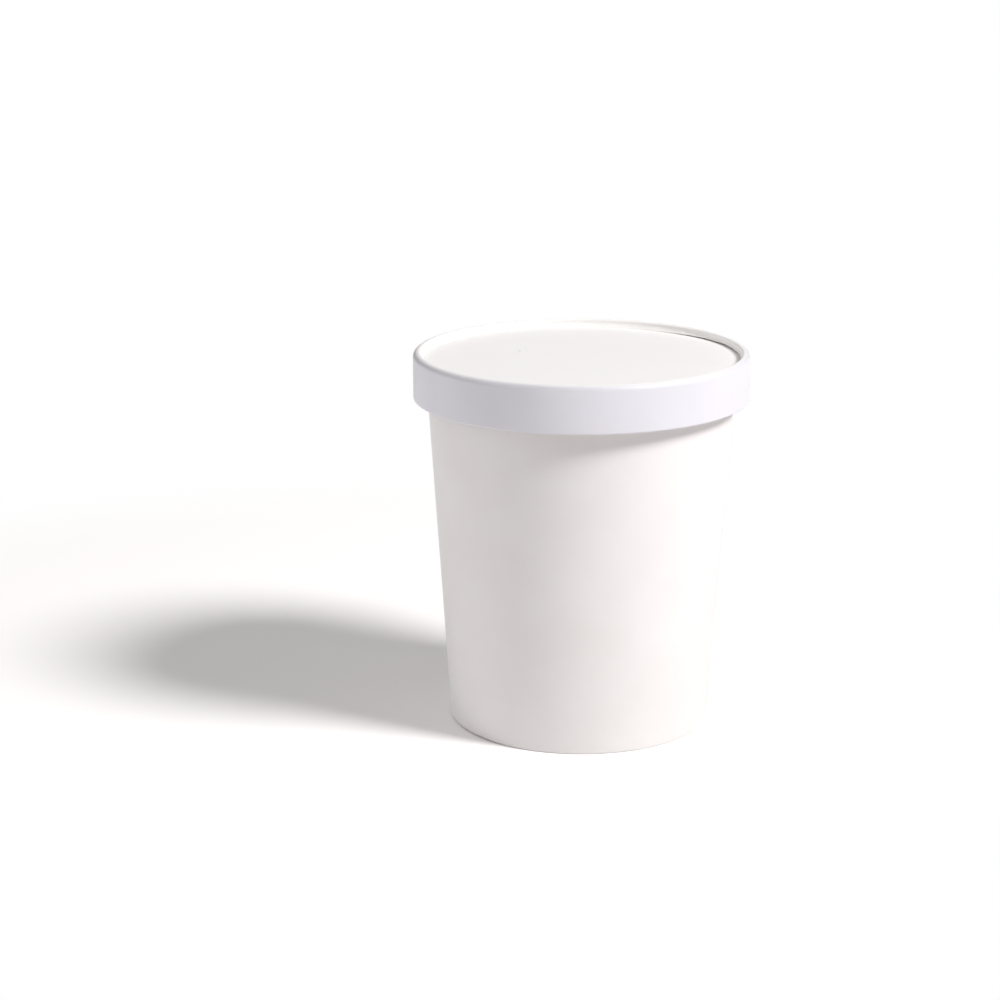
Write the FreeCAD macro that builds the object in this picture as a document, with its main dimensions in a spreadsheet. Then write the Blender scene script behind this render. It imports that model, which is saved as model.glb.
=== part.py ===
import FreeCAD, Part
import math
import os
import Sketcher

# A round paperboard soup container, shut with its paper lid. Millimetres, +Z up.
# The origin is the centre of the foot, on the surface the container stands on.
# The container is shut, so the tub is solid inside, from its base board up to its lid.

driving_sizes = {
    "overall_height": 134.3,  # foot to the top of the lid's rim
    "lid_radius": 59.5,  # outside of the lid's band
    "band_height": 16.6,  # lid band, bottom fold to top fold
    "lid_recess": 2.8,  # rim top down to the lid's disc
    "rim_outer_rounding": 1.95,  # outside of the band's top fold, from its face up to the crest
    "rim_inner_rounding": 0.75,  # outside of the same fold, from the crest down to the hem
    "hem_lean": 26.5,  # degrees by which the hem slopes inwards on its way down
    "base_radius": 46.6,  # outside of the wall at the foot
    "rim_overhang": 4.65,  # lid radius less the wall's radius under the rolled rim
    "bead_height": 3.2,  # rolled rim, top to bottom
    "base_recess": 7.6,  # foot up to the underside of the base board
    "hem_height": 6.5,  # foot up to the cut edge of the turned-in wall
    "foot_radius": 0.55,  # rounding on both sides of the bottom fold
    "board": 0.5,  # thickness of the paperboard
    "fit_gap": 0.05,  # clearance between two plies
    "base_bend_radius": 0.5,  # inside of the bend between the base board and its flange
    "lid_bend_radius": 0.7,  # inside of the bend between the lid's disc and its flange
    "lap_width": 8.0,  # overlap where the two ends of a strip are glued
    "lap_ramp": 6.0,  # stretch over which the outer ply rises onto the overlap
    "lap_root": 0.3,  # how far an overlap reaches into the ply below
    "wall_lap_angle": 75.0,  # where the wall's overlap lies, from +X about +Z
    "band_lap_angle": 140.0,  # where the band's overlap lies
    "crimp_count": 72,  # pressed marks round the bottom hem
    "crimp_width": 1.9,
    "crimp_depth": 0.25,
    "crimp_margin": 0.7,  # smooth edge above and below the marks
    "vent_diameter": 1.1,
    "vent_across": -22.0,
    "vent_back": 10.8,
}

document = FreeCAD.newDocument("soup_container")
sheet = document.addObject("Spreadsheet::Sheet", "sizes")
for row, (alias, size) in enumerate(driving_sizes.items(), start=1):
    sheet.set(f"A{row}", alias)
    sheet.set(f"B{row}", str(size))
    sheet.setAlias(f"B{row}", alias)
document.recompute()

# Levels and radii that follow from the sheet, kept as expressions.
board = "sizes.board"
gap = "sizes.fit_gap"
lid_radius = "sizes.lid_radius"
rim_top = "sizes.overall_height"
band_bottom = "(sizes.overall_height - sizes.band_height)"
disc_top = "(sizes.overall_height - sizes.lid_recess)"
disc_under = f"({disc_top} - {board})"
neck_level = f"({disc_under} - sizes.bead_height)"
neck_radius = "(sizes.lid_radius - sizes.rim_overhang)"
bead_radius = f"({lid_radius} - 2 * {board} - 2 * {gap})"
base_top = f"(sizes.base_recess + {board})"
fold_level = f"({rim_top} - sizes.rim_outer_rounding)"
crest_radius = f"({lid_radius} - sizes.rim_outer_rounding)"


def wall_radius(level, inset="0"):
    # The wall's outside is a cone between the foot and the neck. The inset is measured inwards from it.
    lean = f"({neck_radius} - sizes.base_radius) / {neck_level}"
    return f"(sizes.base_radius + {lean} * ({level}) - ({inset}))"


def height_on_arc(radius, offset):
    # How far a circle about the origin reaches along one axis, at an offset along the other.
    return f"sqrt(({radius}) ^ 2 - ({offset}) ^ 2)"


def evaluate(expression):
    return float(sheet.evalExpression(expression))


def origin_feature(body, role):
    return next(feature for feature in body.Origin.OriginFeatures if feature.Role == role)


def new_body(label):
    body = document.addObject("PartDesign::Body", label)
    body.Label = label
    body.Placement = FreeCAD.Placement()
    return body


def new_sketch(body, name, plane, level="0", turn="0"):
    # A sketch on one of the body's own planes, lifted by a level and turned about its normal.
    sketch = body.newObject("Sketcher::SketchObject", name)
    sketch.AttachmentSupport = [(origin_feature(body, plane), "")]
    sketch.MapMode = "FlatFace"
    sketch.setExpression("AttachmentOffset.Base.z", level)
    sketch.setExpression("AttachmentOffset.Rotation.Angle", turn)
    return sketch


def arc_between(start, end, radius, side):
    # The short arc from start to end that bends to the left or to the right.
    chord = end - start
    half = chord.Length / 2
    rise = math.sqrt(max(radius ** 2 - half ** 2, 0.0))
    normal = FreeCAD.Vector(-chord.y, chord.x, 0).normalize()
    sign = 1 if side == "left" else -1
    centre = start + chord * 0.5 + normal * (rise * sign)
    first, last = (start, end) if side == "left" else (end, start)
    first_angle = math.atan2(first.y - centre.y, first.x - centre.x)
    last_angle = math.atan2(last.y - centre.y, last.x - centre.x)
    circle = Part.Circle(centre, FreeCAD.Vector(0, 0, 1), radius)
    return Part.ArcOfCircle(circle, first_angle, last_angle)


def pin_point(sketch, edge, end, across, up, name):
    # Ties the end of an edge to its two expressions, or to an axis where one of them is nought.
    for kind, axis, expression in (("DistanceX", -2, across), ("DistanceY", -1, up)):
        if expression == "0":
            sketch.addConstraint(Sketcher.Constraint("PointOnObject", edge, end, axis))
            continue
        index = sketch.addConstraint(
            Sketcher.Constraint(kind, -1, 1, edge, end, evaluate(expression)))
        sketch.renameConstraint(index, f"{name}_{kind[-1].lower()}")
        sketch.setExpression(f"Constraints.{name}_{kind[-1].lower()}", expression)


def draw_outline(sketch, corners):
    # Corners are (across, up), or (across, up, radius, side) where an arc leads to the corner.
    # They run once round the outline, and the last one joins the first.
    points = [FreeCAD.Vector(evaluate(corner[0]), evaluate(corner[1]), 0) for corner in corners]
    ends = []
    for number, corner in enumerate(corners):
        start = points[number - 1]
        end = points[number]
        if len(corner) == 2:
            edge = sketch.addGeometry(Part.LineSegment(start, end), False)
            ends.append((edge, 1, 2))
            continue
        radius, side = corner[2:]
        edge = sketch.addGeometry(arc_between(start, end, evaluate(radius), side), False)
        ends.append((edge, 1, 2) if side == "left" else (edge, 2, 1))
        index = sketch.addConstraint(Sketcher.Constraint("Radius", edge, evaluate(radius)))
        sketch.renameConstraint(index, f"bend_{number}")
        sketch.setExpression(f"Constraints.bend_{number}", radius)
    for number, corner in enumerate(corners):
        edge, _, last = ends[number]
        following, first, _ = ends[(number + 1) % len(corners)]
        sketch.addConstraint(Sketcher.Constraint("Coincident", edge, last, following, first))
        pin_point(sketch, edge, last, corner[0], corner[1], f"corner_{number}")


def revolve(body, name, corners):
    # Turns an outline in the XZ plane about the container's axis.
    sketch = new_sketch(body, f"{name}_outline", "XZ_Plane")
    draw_outline(sketch, corners)
    solid = body.newObject("PartDesign::Revolution", name)
    solid.Profile = sketch
    solid.ReferenceAxis = (sketch, ["V_Axis"])
    solid.Angle = 360
    return solid


def lap_corners(radius):
    # Section of a glued overlap, about +X: the outer ply climbs a ramp, lies over the ply
    # below for the width of the lap, and ends in a cut edge one board high.
    half = "(sizes.lap_width / 2)"
    ramp_start = f"({half} + sizes.lap_ramp)"
    outside = f"({radius} + {board})"
    inside = f"({radius} - sizes.lap_root)"
    return [
        (height_on_arc(radius, ramp_start), f"-{ramp_start}"),
        (height_on_arc(outside, half), f"-{half}"),
        (height_on_arc(outside, half), half, outside, "left"),
        (height_on_arc(inside, half), half),
        (height_on_arc(inside, ramp_start), f"-{ramp_start}", inside, "right"),
    ]


def make_tub():
    # The wall with its rolled rim, the bottom fold and the hem turned up inside it.
    body = new_body("tub")
    hem_inset = f"2 * {board} + 2 * {gap}"
    hem_face = f"3 * {board} + 2 * {gap}"
    foot = "sizes.foot_radius"
    bead_half = "sizes.bead_height / 2"
    revolve(body, "tub_wall", [
        ("0", base_top),
        (wall_radius(base_top, board), base_top),
        (wall_radius(board, board), board),
        (wall_radius(board, hem_inset), board),
        (wall_radius("sizes.hem_height", hem_inset), "sizes.hem_height"),
        (wall_radius("sizes.hem_height", hem_face), "sizes.hem_height"),
        (wall_radius(foot, hem_face), foot),
        (f"{wall_radius(foot, hem_face)} + {foot}", "0", foot, "left"),
        (wall_radius(foot, foot), "0"),
        (wall_radius(foot), foot, foot, "left"),
        (neck_radius, neck_level),
        (f"{bead_radius} - {bead_half}", neck_level),
        (bead_radius, f"{neck_level} + {bead_half}", bead_half, "left"),
        (f"{bead_radius} - {bead_half}", disc_under, bead_half, "left"),
        ("0", disc_under),
    ])
    add_wall_lap(body)
    add_crimps(body, hem_face)
    return body


def add_wall_lap(body):
    # The overlap down the wall, from the bottom fold to the rolled rim.
    sections = []
    for name, level in (("lap_at_foot", "sizes.foot_radius"), ("lap_at_neck", neck_level)):
        sketch = new_sketch(body, name, "XY_Plane", level, "sizes.wall_lap_angle")
        draw_outline(sketch, lap_corners(wall_radius(level)))
        sections.append(sketch)
    lap = body.newObject("PartDesign::AdditiveLoft", "wall_lap")
    lap.Profile = sections[0]
    lap.Sections = sections[1:]
    lap.Ruled = True


def add_crimps(body, hem_face):
    # Upright marks pressed into the hem to bond it to the base board's flange.
    low = "(sizes.foot_radius + sizes.crimp_margin)"
    high = "(sizes.hem_height - sizes.crimp_margin)"
    cut = f"{hem_face} - sizes.crimp_depth"
    clear = f"{hem_face} + sizes.crimp_depth"
    sketch = new_sketch(body, "crimp_outline", "XZ_Plane")
    draw_outline(sketch, [
        (wall_radius(low, clear), low),
        (wall_radius(low, cut), low),
        (wall_radius(high, cut), high),
        (wall_radius(high, clear), high),
    ])
    crimp = body.newObject("PartDesign::Pocket", "crimp")
    crimp.Profile = sketch
    crimp.SideType = "Symmetric"
    crimp.setExpression("Length", "sizes.crimp_width")
    pattern = body.newObject("PartDesign::PolarPattern", "crimps")
    pattern.Originals = [crimp]
    pattern.Axis = (origin_feature(body, "Z_Axis"), [""])
    pattern.Angle = 360
    pattern.setExpression("Occurrences", "sizes.crimp_count")
    body.Tip = pattern


def make_tub_base():
    # The base board. Its flange points down, between the wall and the hem.
    body = new_body("tub_base")
    flange_inside = f"2 * {board} + {gap}"
    flange_outside = f"{board} + {gap}"
    flange_end = f"({board} + {gap})"
    bend = "sizes.base_bend_radius"
    outer_bend = f"({bend} + {board})"
    inside_level = f"(sizes.base_recess - {bend})"
    outside_level = f"({base_top} - {outer_bend})"
    revolve(body, "base_board", [
        ("0", "sizes.base_recess"),
        (wall_radius(inside_level, f"{flange_inside} + {bend}"), "sizes.base_recess"),
        (wall_radius(inside_level, flange_inside), inside_level, bend, "right"),
        (wall_radius(flange_end, flange_inside), flange_end),
        (wall_radius(flange_end, flange_outside), flange_end),
        (wall_radius(outside_level, flange_outside), outside_level),
        (wall_radius(outside_level, f"{flange_outside} + {outer_bend}"), base_top, outer_bend, "left"),
        ("0", base_top),
    ])
    return body


def hem_start(inset="0"):
    # Where the rounding inside the crest runs on into the hem. The inset is measured into the board.
    rounding = f"(sizes.rim_inner_rounding - ({inset}))"
    across = f"({crest_radius} - {rounding} * cos(sizes.hem_lean))"
    up = f"({rim_top} - sizes.rim_inner_rounding + {rounding} * sin(sizes.hem_lean))"
    return across, up


def hem_foot(inset="0"):
    # Where the hem, sloping on from its start, meets the disc.
    across, up = hem_start(inset)
    return f"({across} - ({up} - {disc_top}) * tan(sizes.hem_lean))", disc_top


def make_lid_band():
    # A strip folded at both edges: up inside itself at the bottom, and at the top inwards over
    # the disc's flange and down as a hem. The hem's cut edge holds the disc down on the rolled rim.
    body = new_body("lid_band")
    outer = "sizes.rim_outer_rounding"
    inner = "sizes.rim_inner_rounding"
    bottom_fold_level = f"({band_bottom} + {board})"
    revolve(body, "band", [
        (lid_radius, bottom_fold_level, board, "left"),
        (lid_radius, fold_level),
        (crest_radius, rim_top, outer, "left"),
        (*hem_start(), inner, "left"),
        hem_foot(),
        hem_foot(board),
        hem_start(board),
        (crest_radius, f"{rim_top} - {board}", f"{inner} - {board}", "right"),
        (f"{lid_radius} - {board}", fold_level, f"{outer} - {board}", "right"),
        (f"{lid_radius} - {board}", disc_under),
        (f"{lid_radius} - 2 * {board}", disc_under),
        (f"{lid_radius} - 2 * {board}", bottom_fold_level),
        (f"{lid_radius} - {board}", band_bottom, board, "left"),
    ])
    sketch = new_sketch(body, "band_lap_outline", "XY_Plane", bottom_fold_level, "sizes.band_lap_angle")
    draw_outline(sketch, lap_corners(lid_radius))
    lap = body.newObject("PartDesign::Pad", "band_lap")
    lap.Profile = sketch
    lap.setExpression("Length", f"{fold_level} - {bottom_fold_level}")
    return body


def make_lid_disc():
    # The recessed disc of the lid. Its flange points up, into the fold of the band.
    body = new_body("lid_disc")
    flange_outside = f"({lid_radius} - {board} - {gap} / 2)"
    flange_inside = f"({flange_outside} - {board})"
    bend = "sizes.lid_bend_radius"
    outer_bend = f"({bend} + {board})"
    revolve(body, "disc", [
        ("0", disc_under),
        (f"{flange_outside} - {outer_bend}", disc_under),
        (flange_outside, f"{disc_under} + {outer_bend}", outer_bend, "left"),
        (flange_outside, fold_level),
        (flange_inside, fold_level),
        (flange_inside, f"{disc_top} + {bend}"),
        (f"{flange_inside} - {bend}", disc_top, bend, "right"),
        ("0", disc_top),
    ])
    sketch = new_sketch(body, "vent_outline", "XY_Plane", rim_top)
    centre = FreeCAD.Vector(evaluate("sizes.vent_across"), evaluate("sizes.vent_back"), 0)
    radius = evaluate("sizes.vent_diameter / 2")
    circle = sketch.addGeometry(Part.Circle(centre, FreeCAD.Vector(0, 0, 1), radius), False)
    pin_point(sketch, circle, 3, "sizes.vent_across", "sizes.vent_back", "vent")
    index = sketch.addConstraint(Sketcher.Constraint("Radius", circle, radius))
    sketch.renameConstraint(index, "vent_radius")
    sketch.setExpression("Constraints.vent_radius", "sizes.vent_diameter / 2")
    vent = body.newObject("PartDesign::Pocket", "vent")
    vent.Profile = sketch
    vent.Type = "ThroughAll"
    return body


def check_document(bodies):
    # Stops before anything is written if a feature failed or cut nothing.
    for item in document.Objects:
        if "Invalid" in item.State or "Error" in item.State:
            raise RuntimeError(f"{item.Label} failed: {item.State}")
        if item.TypeId == "Sketcher::SketchObject" and not item.FullyConstrained:
            raise RuntimeError(f"{item.Label} is not fully constrained")
    for body in bodies:
        if body.Shape.isNull() or not body.Shape.isValid() or len(body.Shape.Solids) != 1:
            raise RuntimeError(f"{body.Label} is not one valid solid")
    for cut, base in (("vent", "disc"), ("crimps", "wall_lap")):
        if document.getObject(cut).Shape.Volume >= document.getObject(base).Shape.Volume:
            raise RuntimeError(f"{cut} removed nothing")


bodies = [make_tub(), make_tub_base(), make_lid_band(), make_lid_disc()]
document.recompute()
check_document(bodies)
os.makedirs("parts", exist_ok=True)
for body in bodies:
    body.Shape.exportStep(f"parts/{body.Label}.step")
    box = body.Shape.optimalBoundingBox(False)
    print(f"{body.Label}: {body.Shape.Volume / 1000:.2f} cm3, {box.XLength:.2f} x {box.YLength:.2f} x "
          f"{box.ZLength:.2f}, z {box.ZMin:.2f} to {box.ZMax:.2f}")
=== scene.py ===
import math

import bpy
import numpy as np
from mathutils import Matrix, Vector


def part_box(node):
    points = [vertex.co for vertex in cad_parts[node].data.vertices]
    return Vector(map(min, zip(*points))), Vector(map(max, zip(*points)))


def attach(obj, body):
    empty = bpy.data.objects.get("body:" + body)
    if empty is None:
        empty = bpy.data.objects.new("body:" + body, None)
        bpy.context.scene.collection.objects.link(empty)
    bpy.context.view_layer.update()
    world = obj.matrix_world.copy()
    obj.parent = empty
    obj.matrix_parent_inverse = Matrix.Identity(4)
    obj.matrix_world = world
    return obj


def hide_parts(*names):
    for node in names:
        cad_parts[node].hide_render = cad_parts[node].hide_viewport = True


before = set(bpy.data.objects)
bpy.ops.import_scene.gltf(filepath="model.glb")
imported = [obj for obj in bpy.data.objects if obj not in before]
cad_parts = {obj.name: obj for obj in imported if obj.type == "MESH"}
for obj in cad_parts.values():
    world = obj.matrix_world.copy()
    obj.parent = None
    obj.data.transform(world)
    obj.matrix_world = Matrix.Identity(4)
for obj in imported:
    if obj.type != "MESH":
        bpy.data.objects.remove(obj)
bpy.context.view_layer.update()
mm = 0.001

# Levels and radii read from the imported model, in metres.
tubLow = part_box("tub")[0]
baseLow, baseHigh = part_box("tub_base")
bandLow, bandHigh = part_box("lid_band")
discLow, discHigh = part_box("lid_disc")
rimTop = bandHigh[2]
bandBottom = bandLow[2]
lidRadius = -bandLow[1]
discUnder = discLow[2]
beadRadius = -tubLow[1]
baseTop = baseHigh[2]
foldLevel = discHigh[2]  # the flange ends where the band starts to turn over it
gap = 0.05 * mm  # clearance between two plies
board = baseLow[2] - gap  # the base board's flange ends one board and one gap above the foot
discTop = discUnder + board
tau = 2 * math.pi
arcStep = math.radians(15)  # turn of one step along a rounding
sharpFrom = math.radians(38)  # faces that meet at more than this have a sharp edge between them


def smoothStep(x):
    x = np.clip(x, 0.0, 1.0)
    return x * x * (3 - 2 * x)


def nearHeading(heading, middle, reach, fade):
    # 1 near a heading, fading to 0 at a reach to either side of it.
    apart = np.abs((heading - middle + math.pi) % tau - math.pi)
    return smoothStep((reach - apart) / fade)


def waves(angle, counts, phases, sizes):
    # Sum of whole-numbered waves round the axis, so that it closes on itself.
    total = np.zeros_like(angle)
    for count, phase, size in zip(counts, phases, sizes):
        total = total + size * np.cos(count * angle + phase)
    return total


def roundedPath(corners, spacing, closed=False):
    # Corners are (across, up, radius). Each is rounded by an arc that touches both of its runs at
    # radius * tan(half the turn) from the corner, and the runs between are divided evenly.
    # Returns the points and, for each point, the number of the corner whose arc or whose
    # outgoing run it lies on.
    count = len(corners)
    points = np.array([corner[:2] for corner in corners], dtype=float)
    radii = [corner[2] for corner in corners]
    arcs = []
    for number in range(count):
        here = points[number]
        if radii[number] == 0 or (not closed and number in (0, count - 1)):
            arcs.append(here[None, :])
            continue
        back = points[number - 1] - here
        ahead = points[(number + 1) % count] - here
        back /= np.linalg.norm(back)
        ahead /= np.linalg.norm(ahead)
        turn = math.pi - math.acos(float(np.clip(back @ ahead, -1, 1)))
        reach = radii[number] * math.tan(turn / 2)
        middle = back + ahead
        middle /= np.linalg.norm(middle)
        centre = here + middle * (radii[number] / math.cos(turn / 2))
        first = here + back * reach - centre
        side = math.copysign(1.0, back[0] * ahead[1] - back[1] * ahead[0])
        steps = max(3, int(round(turn / arcStep)))
        swing = -side * np.linspace(0, turn, steps + 1)
        arcs.append(centre + np.stack([
            first[0] * np.cos(swing) - first[1] * np.sin(swing),
            first[0] * np.sin(swing) + first[1] * np.cos(swing)], axis=1))
    path = []
    owner = []
    for number in range(count):
        path.append(arcs[number])
        owner.append(np.full(len(arcs[number]), number))
        if number == count - 1 and not closed:
            break
        start = arcs[number][-1]
        end = arcs[(number + 1) % count][0]
        parts = max(1, int(math.ceil(np.linalg.norm(end - start) / spacing)))
        share = np.linspace(0, 1, parts + 1)[1:-1, None]
        path.append(start + (end - start) * share)
        owner.append(np.full(len(share), number))
    path = np.concatenate(path)
    owner = np.concatenate(owner)
    return path[:, 0], path[:, 1], owner


def meshFromGrid(name, grid, material, marks, poles=False):
    # grid[i, j] is a point at step i round the axis and step j along the profile. The profile
    # closes on itself; with poles its first and last points lie on the axis instead and become one
    # point each. marks are named numbers kept at each point, for the material.
    around, along = grid.shape[:2]
    i = np.arange(around)[:, None]
    iNext = (i + 1) % around
    if poles:
        inner = grid[:, 1:-1]
        width = along - 2
        flat = np.concatenate([inner.reshape(-1, 3), grid[:1, 0], grid[:1, -1]])
        first = around * width
        j = np.arange(width - 1)[None, :]
        quads = np.stack([i * width + j, iNext * width + j,
                          iNext * width + j + 1, i * width + j + 1], axis=-1).reshape(-1, 4)
        start = np.stack([np.full(around, first), iNext[:, 0] * width, i[:, 0] * width], axis=-1)
        end = np.stack([np.full(around, first + 1), i[:, 0] * width + width - 1,
                        iNext[:, 0] * width + width - 1], axis=-1)
        faces = quads.tolist() + start.tolist() + end.tolist()
        marks = {key: np.concatenate([kept[:, 1:-1].reshape(-1), kept[:1, 0], kept[:1, -1]])
                 for key, kept in marks.items()}
    else:
        width = along
        flat = grid.reshape(-1, 3)
        j = np.arange(width)[None, :]
        jNext = (j + 1) % width
        quads = np.stack([i * width + j, iNext * width + j,
                          iNext * width + jNext, i * width + jNext], axis=-1).reshape(-1, 4)
        faces = quads.tolist()
    mesh = bpy.data.meshes.new(name)
    mesh.from_pydata(flat.tolist(), [], faces)
    mesh.polygons.foreach_set("use_smooth", np.ones(len(faces), dtype=bool))
    for key, kept in marks.items():
        layer = mesh.attributes.new(key, "FLOAT", "POINT")
        layer.data.foreach_set("value", kept.reshape(-1).astype(np.float32))
    mesh.set_sharp_from_angle(angle=sharpFrom)
    mesh.materials.append(material)
    mesh.update()
    piece = bpy.data.objects.new(name, mesh)
    bpy.context.scene.collection.objects.link(piece)
    return piece


def lapHeight(along, lap):
    # Rise of a glued overlap, by the distance along the strip from the middle of the lap: a
    # smooth ramp up, a level stretch, and a cut edge.
    half = lap["width"] / 2
    ramp = smoothStep((along + half + lap["ramp"]) / lap["ramp"])
    cut = smoothStep((half - along) / lap["edge"])
    return lap["step"] * ramp * cut


def lapAngles(count, lap, radius):
    # Even steps round the axis, turned to start opposite the lap, with extra steps at the lap's
    # cut edge in place of the even ones beside them. All are measured from the middle of the lap.
    even = np.linspace(-math.pi, math.pi, count, endpoint=False)
    half = lap["width"] / 2
    beside = 0.0012
    edge = (half - lap["edge"] * np.array([1.6, 1.0, 0.75, 0.5, 0.25, 0.0, -0.6])) / radius
    clear = np.min(np.abs(even[:, None] - edge[None, :]), axis=1) > beside
    return np.sort(np.concatenate([even[clear], edge]))


# ---- materials

boardLook = {
    "tub": {"color": (0.823, 0.796, 0.790), "shade": (0.803, 0.772, 0.762), "roughness": 0.50},
    "base": {"color": (0.819, 0.793, 0.778), "shade": (0.794, 0.765, 0.748), "roughness": 0.56},
    # The band's last tone is painted shade, a darker line under the crest on the side away from the
    # lamp.
    "band": {"color": (0.734, 0.714, 0.765), "shade": (0.712, 0.692, 0.738), "roughness": 0.46,
             "turned": (0.872, 0.853, 0.835), "paintedShadeLine": (0.560, 0.541, 0.574)},
    "disc": {"color": (0.886, 0.866, 0.858), "shade": (0.865, 0.847, 0.841), "roughness": 0.52},
    "core": (0.72, 0.66, 0.60),  # uncoated board that shows at cut edges and worn folds
}

paperGrain = {
    "clouds": (38, 3, 0.5),  # noises: scale for each metre, detail, roughness
    "fibres": (1500, 4, 0.62),
    "peel": (620, 2, 0.5),
    "cloudSpan": (0.35, 0.65),  # from the look's color to its shade
    "fleckSpan": (0.60, 0.78),
    "fleckShare": 0.35,
    "sheenSpan": (0.3, 0.7),
    "sheenChange": (-0.04, 0.05),  # added to the look's roughness
    "specular": 0.42,
    "grainStrength": 0.16,
    "grainDepth": 0.03 * mm,
    "peelStrength": 0.22,
    "peelDepth": 0.05 * mm,
}


def paperboard(name, look):
    # Coated paperboard: a cloudy tone, fine fibre flecks, a faint orange peel in the coating, and
    # bare board at cut edges where the wear attribute is high. The band also has a tone for its
    # turned-over face and a painted shade line under its crest on one side, each by the attribute of
    # that name.
    grainPlan = paperGrain
    material = bpy.data.materials.new(name)
    material.use_nodes = True
    tree = material.node_tree
    tree.nodes.clear()

    def node(kind, **values):
        made = tree.nodes.new(kind)
        for key, value in values.items():
            setattr(made, key, value)
        return made

    def noise(key):
        scale, detail, roughness = grainPlan[key]
        made = node("ShaderNodeTexNoise")
        made.inputs["Scale"].default_value = scale
        made.inputs["Detail"].default_value = detail
        made.inputs["Roughness"].default_value = roughness
        tree.links.new(place.outputs["Object"], made.inputs["Vector"])
        return made

    def span(source, low, high, outLow, outHigh):
        made = node("ShaderNodeMapRange")
        made.inputs["From Min"].default_value = low
        made.inputs["From Max"].default_value = high
        made.inputs["To Min"].default_value = outLow
        made.inputs["To Max"].default_value = outHigh
        tree.links.new(source, made.inputs["Value"])
        return made.outputs["Result"]

    def blend(factor, first, second):
        made = node("ShaderNodeMix", data_type="RGBA")
        tree.links.new(factor, made.inputs["Factor"])
        for value, socket in ((first, made.inputs["A"]), (second, made.inputs["B"])):
            if isinstance(value, tuple):
                socket.default_value = (*value, 1.0)
            else:
                tree.links.new(value, socket)
        return made.outputs["Result"]

    place = node("ShaderNodeTexCoord")
    clouds = noise("clouds")
    fibres = noise("fibres")
    peel = noise("peel")
    cloudy = span(clouds.outputs["Fac"], *grainPlan["cloudSpan"], 0.0, 1.0)
    tone = blend(cloudy, look["color"], look["shade"])
    for key in ("turned", "paintedShadeLine"):
        if key in look:
            mark = node("ShaderNodeAttribute", attribute_name=key)
            tone = blend(mark.outputs["Fac"], tone, look[key])
    flecks = span(fibres.outputs["Fac"], *grainPlan["fleckSpan"], 0.0, grainPlan["fleckShare"])
    flecked = blend(flecks, tone, look["shade"])
    wear = node("ShaderNodeAttribute", attribute_name="wear")
    color = blend(wear.outputs["Fac"], flecked, boardLook["core"])
    shader = node("ShaderNodeBsdfPrincipled")
    shader.inputs["Specular IOR Level"].default_value = grainPlan["specular"]
    tree.links.new(color, shader.inputs["Base Color"])
    smoother, rougher = grainPlan["sheenChange"]
    sheen = span(clouds.outputs["Fac"], *grainPlan["sheenSpan"],
                 look["roughness"] + smoother, look["roughness"] + rougher)
    tree.links.new(sheen, shader.inputs["Roughness"])
    grain = node("ShaderNodeBump")
    grain.inputs["Strength"].default_value = grainPlan["grainStrength"]
    grain.inputs["Distance"].default_value = grainPlan["grainDepth"]
    tree.links.new(fibres.outputs["Fac"], grain.inputs["Height"])
    skin = node("ShaderNodeBump")
    skin.inputs["Strength"].default_value = grainPlan["peelStrength"]
    skin.inputs["Distance"].default_value = grainPlan["peelDepth"]
    tree.links.new(peel.outputs["Fac"], skin.inputs["Height"])
    tree.links.new(grain.outputs["Normal"], skin.inputs["Normal"])
    tree.links.new(skin.outputs["Normal"], shader.inputs["Normal"])
    out = node("ShaderNodeOutputMaterial")
    tree.links.new(shader.outputs["BSDF"], out.inputs["Surface"])
    return material


# ---- the tub's wall, with its bottom fold, inner hem, rolled rim and glued overlap

tubWall = {
    "steps": 648,  # round the axis, nine for each crimp
    "spacing": 3.0 * mm,
    "footRadius": 46.6 * mm,
    "neckRadius": 54.85 * mm,
    "neckRounding": 0.25 * mm,
    "beadHeight": 3.2 * mm,
    "foldRounding": 0.55 * mm,
    "hemRounding": 0.50 * mm,
    "cutRounding": 0.12 * mm,
    "standOff": 0.40 * mm,  # the fold stands this far off the floor near one heading
    "standHeading": math.radians(-165),
    "standReach": math.radians(46),
    "standFade": math.radians(22),
    "standHeight": 3.0 * mm,
    "hemHeight": 6.5 * mm,
    "mouthDepth": 5.0 * mm,  # how far the closed top lies below the lid's disc
    "mouthRadius": 52.0 * mm,
    "mouthLedge": 1.5 * mm,
    "mouthRounding": 0.8 * mm,
    "crimps": 72,
    "crimpDepth": 0.25 * mm,
    "crimpFrom": 1.1 * mm,  # above the foot
    "crimpTo": 0.6 * mm,  # below the hem's cut edge
    "crimpFade": 0.4 * mm,
    "unevenness": 0.07 * mm,
    "evenBelow": 2 * mm,  # the unevenness fades out over these heights at the foot and the neck
    "evenAbove": 3 * mm,
    "lapFade": 0.25,  # turn over which the steps round the lap go from their distance to even
    "cutWear": 0.75,
    "cutWearWidth": 0.12 * mm,
    "hemWear": 0.9,
    "foldWear": 0.18,
    "foldWearHeight": 0.35 * mm,
    "lapAngle": math.radians(75),
    "lap": {"width": 8.0 * mm, "ramp": 6.0 * mm, "edge": 0.12 * mm, "step": 0.45 * mm},
}
neckLevel = discUnder - tubWall["beadHeight"]


def wallRadius(level):
    # Outside of the wall: a straight lean from the foot to the neck.
    lean = (tubWall["neckRadius"] - tubWall["footRadius"]) / neckLevel
    return tubWall["footRadius"] + lean * level


def stand(heading, up):
    # Rise of the tub's foot = stand-off * nearness to its heading * a fade with height.
    size = tubWall
    near = nearHeading(heading, size["standHeading"], size["standReach"], size["standFade"])
    return size["standOff"] * near * smoothStep(1 - up / size["standHeight"])


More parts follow.
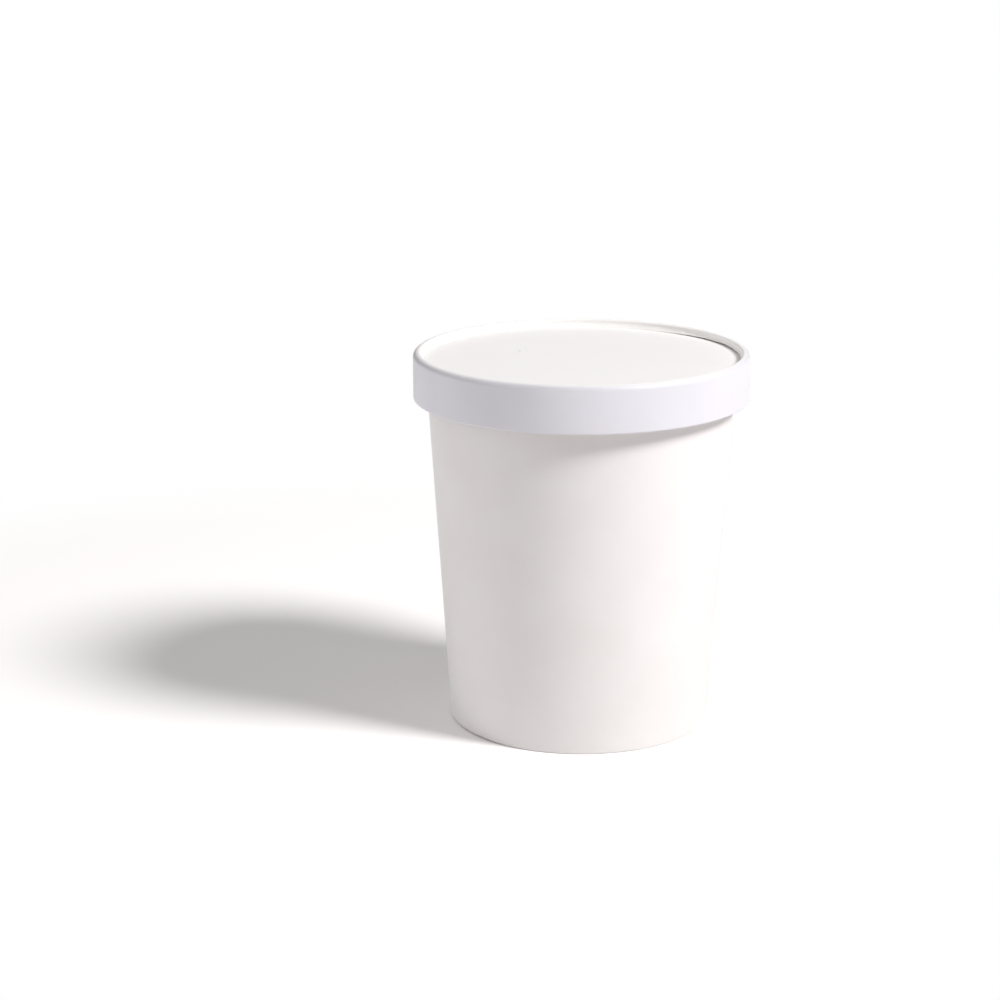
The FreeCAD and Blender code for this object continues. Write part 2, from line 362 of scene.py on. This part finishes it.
def makeTubWall(material):
    # A closed profile turned about the axis: r(angle, s), z(s). The wall's outside is pushed out
    # by a slight unevenness and by the overlap, and the hem's inside is pressed in by the crimps.
    size = tubWall
    hemInset = 2 * board + 2 * gap
    hemFace = 3 * board + 2 * gap
    hemTop = size["hemHeight"]
    cut = size["cutRounding"]
    half = size["beadHeight"] / 2 - 0.01 * mm  # a little less, so that the two arcs don't meet
    mouth, mouthRounding = size["mouthRadius"], size["mouthRounding"]
    corners = [
        (0.0, baseTop, 0),
        (wallRadius(baseTop) - board, baseTop, 0),
        (wallRadius(board) - board, board, 0),
        (wallRadius(board) - hemInset, board, 0),
        (wallRadius(hemTop) - hemInset, hemTop, cut),
        (wallRadius(hemTop) - hemFace, hemTop, cut),
        (wallRadius(0) - hemFace, 0.0, size["hemRounding"]),
        (wallRadius(0), 0.0, size["foldRounding"]),
        (wallRadius(neckLevel), neckLevel, size["neckRounding"]),
        (beadRadius, neckLevel, half),
        (beadRadius, discUnder, half),
        (mouth + size["mouthLedge"], discUnder, mouthRounding),
        (mouth, discUnder - size["mouthDepth"], mouthRounding),
        (0.0, discUnder - size["mouthDepth"], 0),
    ]
    across, up, owner = roundedPath(corners, size["spacing"])
    lap = size["lap"]
    turn = lapAngles(size["steps"], lap, size["footRadius"])[:, None]
    # Near the lap the steps keep their distance in millimetres at every level, so that the
    # overlap is as wide at the rim as at the foot.
    near = smoothStep(1.6 - np.abs(turn) / size["lapFade"])
    radius = np.maximum(across[None, :], 1e-6)
    outer = wallRadius(up)[None, :]
    angle = turn * (near * size["footRadius"] / outer + (1 - near))
    outside = ((owner == 7) | (owner == 8))[None, :] & (up[None, :] < neckLevel + 1e-9)
    rise = smoothStep(up / size["evenBelow"]) * smoothStep((neckLevel - up) / size["evenAbove"])
    uneven = waves(angle, (3, 5, 8, 13), (0.4, 2.1, 5.0, 1.2), (0.55, 0.3, 0.25, 0.12))
    uneven = uneven + 0.3 * np.sin(up[None, :] / (23 * mm) + 2 * angle)
    push = np.where(outside, size["unevenness"] * uneven * rise[None, :], 0.0)
    lift = lapHeight(angle * outer, lap) * smoothStep((up[None, :] - 0.1 * mm) / (0.5 * mm))
    push = push + np.where(outside & (up[None, :] < neckLevel - 0.2 * mm), lift, 0.0)
    pressed = ((owner == 5) | (owner == 6))[None, :]
    window = smoothStep((up - size["crimpFrom"]) / size["crimpFade"])
    window = window * smoothStep((hemTop - size["crimpTo"] - up) / size["crimpFade"])
    ridge = smoothStep(0.5 + 1.6 * np.cos(size["crimps"] * angle))
    push = push + np.where(pressed, size["crimpDepth"] * ridge * window[None, :], 0.0)
    radius = radius + np.where(across[None, :] > 0, push, 0.0)
    heading = angle + size["lapAngle"]
    grid = np.stack([radius * np.cos(heading), radius * np.sin(heading),
                     up[None, :] + stand(heading, up[None, :])], axis=-1)
    along = angle * outer - lap["width"] / 2
    cutEdge = np.exp(-(along / size["cutWearWidth"]) ** 2) * np.where(outside, size["cutWear"], 0.0)
    hemEdge = np.broadcast_to(np.where(owner == 4, size["hemWear"], 0.0)[None, :], radius.shape)
    foldWear = np.exp(-(up / size["foldWearHeight"]) ** 2)[None, :] * size["foldWear"]
    foldWear = foldWear * np.ones_like(radius)
    wear = np.maximum(np.maximum(cutEdge, hemEdge), foldWear)
    return meshFromGrid("tubWall", grid, material, {"wear": wear}, poles=True)


# ---- the base board, seen from below

baseBoard = {
    "steps": 360,
    "spacing": 2.5 * mm,
    "recess": 7.6 * mm,
    "bend": 0.5 * mm,
    "cutRounding": 0.1 * mm,
    "sag": 0.10 * mm,
    "sagReach": 0.985,  # share of the radius that sags, and how sharply that ends
    "sagFade": 18,
}


def makeBaseBoard(material):
    # A closed profile turned about the axis; the disc is dished up a little towards its middle.
    size = baseBoard
    inset = board + gap
    low = size["recess"]
    end = board + gap
    corners = [
        (0.0, low, 0),
        (wallRadius(low) - inset - board, low, size["bend"]),
        (wallRadius(end) - inset - board, end, size["cutRounding"]),
        (wallRadius(end) - inset, end, size["cutRounding"]),
        (wallRadius(baseTop) - inset, baseTop, size["bend"] + board),
        (0.0, baseTop, 0),
    ]
    across, up, owner = roundedPath(corners, size["spacing"])
    angle = np.linspace(-math.pi, math.pi, size["steps"], endpoint=False)[:, None]
    under = (owner == 0)[None, :]
    share = np.clip(across / wallRadius(low), 0, 1)[None, :]
    ripple = waves(angle, (2, 3, 5), (0.9, 3.6, 1.7), (0.5, 0.35, 0.15))
    ripple = ripple * share ** 2 * (1 - share ** 6)
    dish = size["sag"] * (0.8 * (1 - share ** 2) + 0.5 * (1 + ripple))
    shift = np.where(under & (share < size["sagReach"]), dish, 0.0)
    height = up[None, :] + shift * smoothStep((size["sagReach"] - share) * size["sagFade"])
    height = height + stand(angle, up[None, :])
    radius = np.broadcast_to(across[None, :], height.shape)
    grid = np.stack([radius * np.cos(angle), radius * np.sin(angle), height], axis=-1)
    return meshFromGrid("baseBoard", grid, material, {"wear": np.zeros(height.shape)}, poles=True)


# ---- the lid's band, folded over the disc's flange

lidBand = {
    "steps": 640,
    "spacing": 0.45 * mm,
    "lowerFold": 0.48 * mm,
    "innerRounding": 0.75 * mm,
    "cutRounding": 0.08 * mm,
    "plyRounding": 0.10 * mm,
    "hemLean": math.radians(26.5),
    "clear": 0.07 * mm,  # room for the unevenness inside the outline
    "unevenness": 0.06 * mm,
    "evenAbove": 3 * mm,  # the unevenness fades out over this height below the crest
    "lapFadeLow": 0.6 * mm,  # and the lap's step over these, at the bottom and at the crest
    "lapFadeHigh": 1.9 * mm,
    "foldWander": 0.10 * mm,
    "wanderReach": 1.6 * mm,  # how far below the crest the wander goes, and its fade
    "wanderFade": 1.5 * mm,
    "edgeBelow": 0.9 * mm,  # the hem is held above this level under the crest, and free below
    "edgeFade": 1.9 * mm,
    "bowBelow": 0.4 * mm,
    "hemWrinkle": 0.18 * mm,
    "hemLift": 0.75 * mm,  # how far the hem's edge stands off the disc on the right
    "liftHeading": math.radians(5),
    "liftReach": math.radians(62),
    "liftFade": math.radians(45),
    "liftSwing": 0.50 * mm,  # how far the lifted edge also stands outwards
    "hemBow": 0.30 * mm,  # the hem is steep under the crest and flares near the disc
    # Painted shade: a darker line under the crest, on the side away from the lamp: how far below
    # the crest, how wide, and round which heading.
    "shadeLineDrop": 0.85 * mm,
    "shadeLineWidth": 0.70 * mm,
    "shadeLineHeading": math.radians(-140),
    "shadeLineReach": math.radians(80),
    "shadeLineFade": math.radians(55),
    "lapAngle": math.radians(140),
    "lap": {"width": 8.0 * mm, "ramp": 6.0 * mm, "edge": 0.12 * mm, "step": 0.42 * mm},
    "cutWear": 0.7,
    "cutWearWidth": 0.12 * mm,
    "hemWear": 0.8,
}


def hemLine(inset):
    # The board's fold over the crest, at an inset into the board: where the run along the top
    # would meet the hem's slope, and where the slope meets the disc. The rounding touches both at
    # rounding * tan(half the turn) from their meeting, so it starts at the crest. The factor just
    # under 1 keeps its first point apart from the last one of the outer rounding.
    size = lidBand
    crest = lidRadius - size["clear"] - (rimTop - foldLevel)
    rounding = size["innerRounding"] - inset
    meeting = crest - rounding * math.tan((math.pi / 2 - size["hemLean"]) / 2)
    foot = meeting - (rimTop - inset - discTop) * math.tan(size["hemLean"])
    return rounding * 0.999, meeting, foot


def makeLidBand(material):
    # A closed ring profile turned about the axis. The fold along the top wanders a little up and
    # down, and the hem inside it slopes in to the disc, with a free edge that waves in and out.
    size = lidBand
    outer = lidRadius - size["clear"]
    outerRounding = (rimTop - foldLevel) * 0.999
    rounding, meeting, foot = hemLine(0)
    roundingIn, meetingIn, footIn = hemLine(board)
    footLevel = discTop - 0.03 * mm  # pressed shut on the disc, where it isn't lifted
    corners = [
        (outer, bandBottom, size["lowerFold"]),
        (outer, rimTop, outerRounding),
        (meeting, rimTop, rounding),
        (foot, footLevel, size["cutRounding"]),
        (footIn, footLevel, size["cutRounding"]),
        (meetingIn, rimTop - board, roundingIn),
        (outer - board, rimTop - board, outerRounding - board),
        (outer - board, discUnder, 0),
        (outer - 2 * board, discUnder, size["plyRounding"]),
        (outer - 2 * board, bandBottom, size["lowerFold"]),
    ]
    across, up, owner = roundedPath(corners, size["spacing"], closed=True)
    lap = size["lap"]
    angle = lapAngles(size["steps"], lap, outer)[:, None]
    level = up[None, :]
    outside = ((owner == 0) | (owner == 1))[None, :]
    hem = ((owner == 2) | (owner == 3) | (owner == 4))[None, :]
    uneven = waves(angle, (2, 4, 7, 11), (1.3, 4.4, 0.6, 2.9), (0.5, 0.4, 0.25, 0.15))
    push = size["unevenness"] * uneven * np.where(outside, 1.0, 0.0)
    push = push * smoothStep((rimTop - level) / size["evenAbove"])
    lift = lapHeight(angle * outer, lap) * smoothStep((level - bandBottom) / size["lapFadeLow"])
    lift = lift * smoothStep((rimTop - level) / size["lapFadeHigh"])
    push = push + np.where(outside, np.minimum(lift, lap["step"]), 0.0)
    heading = angle + size["lapAngle"]
    freeEdge = smoothStep((rimTop - size["edgeBelow"] - level) / size["edgeFade"])
    freeEdge = freeEdge * np.where(hem, 1.0, 0.0)
    bowTop = rimTop - size["bowBelow"]
    down = np.clip((bowTop - level) / (bowTop - discTop), 0, 1)
    push = push + size["hemBow"] * np.sin(math.pi * down) * np.where(hem, 1.0, 0.0)
    wrinkle = waves(angle, (23, 37, 58, 83), (0.2, 1.9, 4.1, 2.7), (0.35, 0.3, 0.2, 0.15))
    push = push - size["hemWrinkle"] * freeEdge * smoothStep(0.5 + 0.9 * wrinkle)
    wander = waves(angle, (5, 9, 17, 31), (2.2, 0.7, 3.9, 5.1), (0.4, 0.3, 0.2, 0.1))
    towards = nearHeading(heading, size["liftHeading"], size["liftReach"], size["liftFade"])
    push = push + size["liftSwing"] * towards * freeEdge
    drop = waves(angle, (3, 7, 12), (0.5, 2.4, 4.9), (0.5, 0.3, 0.2))
    drop = -size["foldWander"] * 0.5 * (1 + drop)
    top = smoothStep((level - rimTop + size["wanderReach"]) / size["wanderFade"])
    top = top * np.where((owner <= 2)[None, :], 1.0, 0.0)
    height = level + drop * top + size["hemLift"] * towards * (0.8 + 0.2 * wander) * freeEdge
    radius = across[None, :] + push
    height = np.broadcast_to(height, radius.shape)
    grid = np.stack([radius * np.cos(heading), radius * np.sin(heading), height], axis=-1)
    along = angle * outer - lap["width"] / 2
    cutEdge = np.exp(-(along / size["cutWearWidth"]) ** 2) * np.where(outside, size["cutWear"], 0.0)
    atFoot = (owner == 3) & (up < footLevel + 0.02 * mm)
    hemEdge = np.where(atFoot, size["hemWear"], 0.0)[None, :]
    climb = np.clip((up - foldLevel) / outerRounding, 0, 1)
    turned = np.where(owner == 1, smoothStep((climb - 0.8) / 0.2), np.where(owner == 0, 0.0, 1.0))
    # Painted shade: the band darkens in a line under the crest, only round the headings away from the
    # lamp.
    paintedShadeLine = np.exp(-((level - rimTop + size["shadeLineDrop"]) / size["shadeLineWidth"]) ** 2)
    beside = nearHeading(heading, size["shadeLineHeading"], size["shadeLineReach"], size["shadeLineFade"])
    paintedShadeLine = paintedShadeLine * beside * (0.9 + 0.1 * wander) * np.where(outside, 1.0, 0.0)
    marks = {"wear": np.maximum(cutEdge, np.broadcast_to(hemEdge, radius.shape)),
             "turned": np.broadcast_to(turned[None, :], radius.shape),
             "paintedShadeLine": paintedShadeLine}
    return meshFromGrid("lidBand", grid, material, marks)


# ---- the lid's disc, with its flange and steam vent

lidDisc = {
    "steps": 600,
    "spacing": 0.7 * mm,
    "bend": 0.7 * mm,
    "beforeBend": 2.5 * mm,  # the flat's rings end this far inside the bend
    "flangeDrop": 0.02 * mm,  # the flange's cut edge stops this far short of the band's fold
    "cutRounding": 0.05 * mm,
    "ventRadius": 0.45 * mm,
    "ventPlace": (-22.0 * mm, 10.8 * mm),
    "ventLip": 0.06 * mm,
    "lipWidth": 0.7 * mm,
    "moatPlace": 1.6 * mm,  # a shallow sink round the lip
    "moatWidth": 0.8 * mm,
    "ventWear": 0.25,
    "ventWearWidth": 0.15 * mm,
    "warp": 0.16 * mm,
}


def makeLidDisc(material):
    # A ring surface of two parameters, the turn and the way along the board. On the flat, each
    # point lies between the vent's edge and the start of the bend: (1 - s) * (vent centre + vent
    # radius * direction) + s * bend radius * direction, so that the rings widen from the vent to
    # the bend. From there a profile carries on over the flange and back under the disc.
    size = lidDisc
    outer = lidRadius - lidBand["clear"] - board - gap / 2
    bend, cut = size["bend"], size["cutRounding"]
    flangeTop = foldLevel - size["flangeDrop"]
    flat = outer - board - bend
    edge = flat - size["beforeBend"]
    corners = [
        (edge, discTop, 0),
        (outer - board, discTop, bend),
        (outer - board, flangeTop, cut),
        (outer, flangeTop, cut),
        (outer, discUnder, bend + board),
        (edge, discUnder, 0),
    ]
    across, up = roundedPath(corners, size["spacing"])[:2]
    angle = np.linspace(0, tau, size["steps"], endpoint=False)
    heading = np.stack([np.cos(angle), np.sin(angle)], axis=-1)[:, None, :]
    share = np.concatenate([np.array([0.0, 0.003, 0.008, 0.014, 0.022, 0.032, 0.045]),
                            np.linspace(0.06, 1, 34)[:-1]])
    vent = np.array(size["ventPlace"])
    spread = share[None, :, None]
    sheet = (1 - spread) * (vent + size["ventRadius"] * heading) + spread * edge * heading
    rim = across[None, :, None] * heading
    plane = np.concatenate([sheet, rim, sheet[:, ::-1]], axis=1)
    level = np.concatenate([np.full(len(share), discTop), up, np.full(len(share), discUnder)])
    level = level[None, :]
    x, y = plane[..., 0], plane[..., 1]
    fromVent = np.hypot(x - vent[0], y - vent[1]) - size["ventRadius"]
    fromAxis = np.hypot(x, y) / edge
    raised = np.exp(-(fromVent / size["lipWidth"]) ** 2)
    sunken = np.exp(-((fromVent - size["moatPlace"]) / size["moatWidth"]) ** 2)
    lip = size["ventLip"] * (raised - 0.6 * sunken)
    bow = 0.5 + 0.5 * np.sin(x / (21 * mm) + 0.6) * np.cos(y / (27 * mm) - 0.4)
    bow = size["warp"] * bow * smoothStep((1 - fromAxis) * 5)
    shift = np.where(np.arange(level.shape[1])[None, :] < len(share), lip + bow, bow)
    height = level + shift * (fromAxis <= 1.0001)
    grid = np.stack([x, y, np.broadcast_to(height, x.shape)], axis=-1)
    wear = np.exp(-np.maximum(fromVent, 0) / size["ventWearWidth"]) * size["ventWear"]
    return meshFromGrid("lidDisc", grid, material, {"wear": wear})


# ---- pieces

tubPaper = paperboard("tubPaper", boardLook["tub"])
basePaper = paperboard("basePaper", boardLook["base"])
bandPaper = paperboard("bandPaper", boardLook["band"])
discPaper = paperboard("discPaper", boardLook["disc"])

for make, paper, nodeName, slotName in (
        (makeTubWall, tubPaper, "tub", "tub_board"),
        (makeBaseBoard, basePaper, "tub_base", "base_board"),
        (makeLidBand, bandPaper, "lid_band", "band_board"),
        (makeLidDisc, discPaper, "lid_disc", "disc_board")):
    piece = make(paper)
    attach(piece, "root")
    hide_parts(nodeName)
    print(piece.name, len(piece.data.vertices), "points", len(piece.data.polygons), "faces")

# ---- floor

stageLook = {
    "reach": 9.0,
    "seen": (0.995, 0.975, 0.966),  # the floor as the camera sees it
    "thrown": (0.87, 0.86, 0.86),  # the light that the floor throws back
    # Between these two distances from the shadow's middle the floor turns to plain white.
    "shadowMiddle": (-0.10, 0.045, 0.0),
    "whiteFrom": 0.17,
    "whiteBy": 0.30,
}


def makeFloor():
    reach = stageLook["reach"]
    mesh = bpy.data.meshes.new("floor")
    mesh.from_pydata([(-reach, -reach, 0), (reach, -reach, 0), (reach, reach, 0), (-reach, reach, 0)],
                     [], [(0, 1, 2, 3)])
    material = bpy.data.materials.new("floorWhite")
    material.use_nodes = True
    tree = material.node_tree
    tree.nodes.clear()
    seen = tree.nodes.new("ShaderNodeBsdfDiffuse")
    seen.inputs["Color"].default_value = (*stageLook["seen"], 1)
    thrown = tree.nodes.new("ShaderNodeBsdfDiffuse")
    thrown.inputs["Color"].default_value = (*stageLook["thrown"], 1)
    # Past the shadow the camera sees an even white, whatever the lamp's fall-off is there.
    plain = tree.nodes.new("ShaderNodeEmission")
    plain.inputs["Color"].default_value = (1, 1, 1, 1)
    place = tree.nodes.new("ShaderNodeTexCoord")
    away = tree.nodes.new("ShaderNodeVectorMath")
    away.operation = "DISTANCE"
    away.inputs[1].default_value = stageLook["shadowMiddle"]
    tree.links.new(place.outputs["Object"], away.inputs[0])
    far = tree.nodes.new("ShaderNodeMapRange")
    far.interpolation_type = "SMOOTHSTEP"
    far.inputs["From Min"].default_value = stageLook["whiteFrom"]
    far.inputs["From Max"].default_value = stageLook["whiteBy"]
    tree.links.new(away.outputs["Value"], far.inputs["Value"])
    shown = tree.nodes.new("ShaderNodeMixShader")
    tree.links.new(far.outputs["Result"], shown.inputs["Fac"])
    tree.links.new(seen.outputs[0], shown.inputs[1])
    tree.links.new(plain.outputs[0], shown.inputs[2])
    rays = tree.nodes.new("ShaderNodeLightPath")
    either = tree.nodes.new("ShaderNodeMath")
    either.operation = "MAXIMUM"
    tree.links.new(rays.outputs["Is Camera Ray"], either.inputs[0])
    tree.links.new(rays.outputs["Is Glossy Ray"], either.inputs[1])
    mix = tree.nodes.new("ShaderNodeMixShader")
    tree.links.new(either.outputs[0], mix.inputs["Fac"])
    tree.links.new(thrown.outputs[0], mix.inputs[1])
    tree.links.new(shown.outputs[0], mix.inputs[2])
    out = tree.nodes.new("ShaderNodeOutputMaterial")
    tree.links.new(mix.outputs[0], out.inputs["Surface"])
    mesh.materials.append(material)
    floor = bpy.data.objects.new("floor", mesh)
    bpy.context.scene.collection.objects.link(floor)


makeFloor()
print("floor made")

# ---- light

lightPlan = {
    # One large round lamp to the right and a little in front, aimed at the container.
    "keyPower": 70.3,
    "keySize": 0.76,
    "keyDistance": 2.6,
    "keyElevation": math.radians(43.0),
    "keyHeading": math.radians(-26),  # from +X, towards the viewer
    "keyAim": 0.07,
    "keyColor": (1.0, 0.995, 0.992),
    # Soft light from the rest of the room: each entry is a direction and a strength.
    "room": [((0.0, 0.0, 1.0), 0.67), ((-1.0, 0.0, 0.15), 1.42)],
    "roomColor": (1.0, 0.995, 0.995),
    "roomFocus": 3.0,
}


def makeKey():
    plan = lightPlan
    elevation, heading = plan["keyElevation"], plan["keyHeading"]
    reach = plan["keyDistance"]
    lamp = bpy.data.lights.new("keyLamp", "AREA")
    lamp.shape = "DISK"
    lamp.size = plan["keySize"]
    lamp.energy = plan["keyPower"]
    lamp.color = plan["keyColor"]
    key = bpy.data.objects.new("keyLamp", lamp)
    bpy.context.scene.collection.objects.link(key)
    key.location = (reach * math.cos(elevation) * math.cos(heading),
                    reach * math.cos(elevation) * math.sin(heading),
                    plan["keyAim"] + reach * math.sin(elevation))
    key.rotation_euler = (math.pi / 2 - elevation, 0, heading + math.pi / 2)


def makeRoom():
    # Brightness of the room = sum of strength * max(0, direction . ray) ** focus.
    plan = lightPlan
    world = bpy.data.worlds.new("softRoom")
    bpy.context.scene.world = world
    world.use_nodes = True
    tree = world.node_tree
    ray = tree.nodes.new("ShaderNodeTexCoord")

    def mathNode(operation, first, second):
        made = tree.nodes.new("ShaderNodeMath")
        made.operation = operation
        for socket, value in zip(made.inputs, (first, second)):
            if isinstance(value, float):
                socket.default_value = value
            else:
                tree.links.new(value, socket)
        return made.outputs[0]

    total = None
    for direction, strength in plan["room"]:
        towards = np.array(direction) / np.linalg.norm(direction)
        dot = tree.nodes.new("ShaderNodeVectorMath")
        dot.operation = "DOT_PRODUCT"
        dot.inputs[1].default_value = towards.tolist()
        tree.links.new(ray.outputs["Generated"], dot.inputs[0])
        facing = mathNode("MAXIMUM", dot.outputs["Value"], 0.0)
        lobe = mathNode("MULTIPLY", mathNode("POWER", facing, plan["roomFocus"]), strength)
        total = lobe if total is None else mathNode("ADD", total, lobe)
    back = tree.nodes["Background"]
    back.inputs["Color"].default_value = (*plan["roomColor"], 1)
    tree.links.new(total, back.inputs["Strength"])


makeKey()
makeRoom()
print("light made")

# ---- camera

cameraPlan = {
    "lens": 93.26,
    "sensor": 36.0,
    "distance": 0.92899,
    "aimHeight": 0.07928,
    "farEnd": 60,
    "elevation": math.radians(15.007),
    "pan": math.radians(1.775),  # turned left, which puts the container right of the middle
    "roll": math.radians(0.371),
}


def makeCamera():
    plan = cameraPlan
    pitch, pan, roll = plan["elevation"], plan["pan"], plan["roll"]
    place = np.array([0, -plan["distance"] * math.cos(pitch),
                      plan["aimHeight"] + plan["distance"] * math.sin(pitch)])
    ahead = np.array([0, math.cos(pitch), -math.sin(pitch)])
    right = np.array([1.0, 0, 0])
    up = np.cross(right, ahead)
    aheadTurned = ahead * math.cos(pan) - right * math.sin(pan)
    rightTurned = right * math.cos(pan) + ahead * math.sin(pan)
    rightRolled = rightTurned * math.cos(roll) + up * math.sin(roll)
    upRolled = up * math.cos(roll) - rightTurned * math.sin(roll)
    matrix = np.eye(4)
    matrix[:3, 0] = rightRolled
    matrix[:3, 1] = upRolled
    matrix[:3, 2] = -aheadTurned
    matrix[:3, 3] = place
    data = bpy.data.cameras.new("viewer")
    data.lens = plan["lens"]
    data.sensor_width = plan["sensor"]
    data.clip_end = plan["farEnd"]
    camera = bpy.data.objects.new("viewer", data)
    bpy.context.scene.collection.objects.link(camera)
    camera.matrix_world = [list(row) for row in matrix.T]
    bpy.context.scene.camera = camera


makeCamera()
bpy.context.scene.view_settings.view_transform = "Standard"
print("camera made")
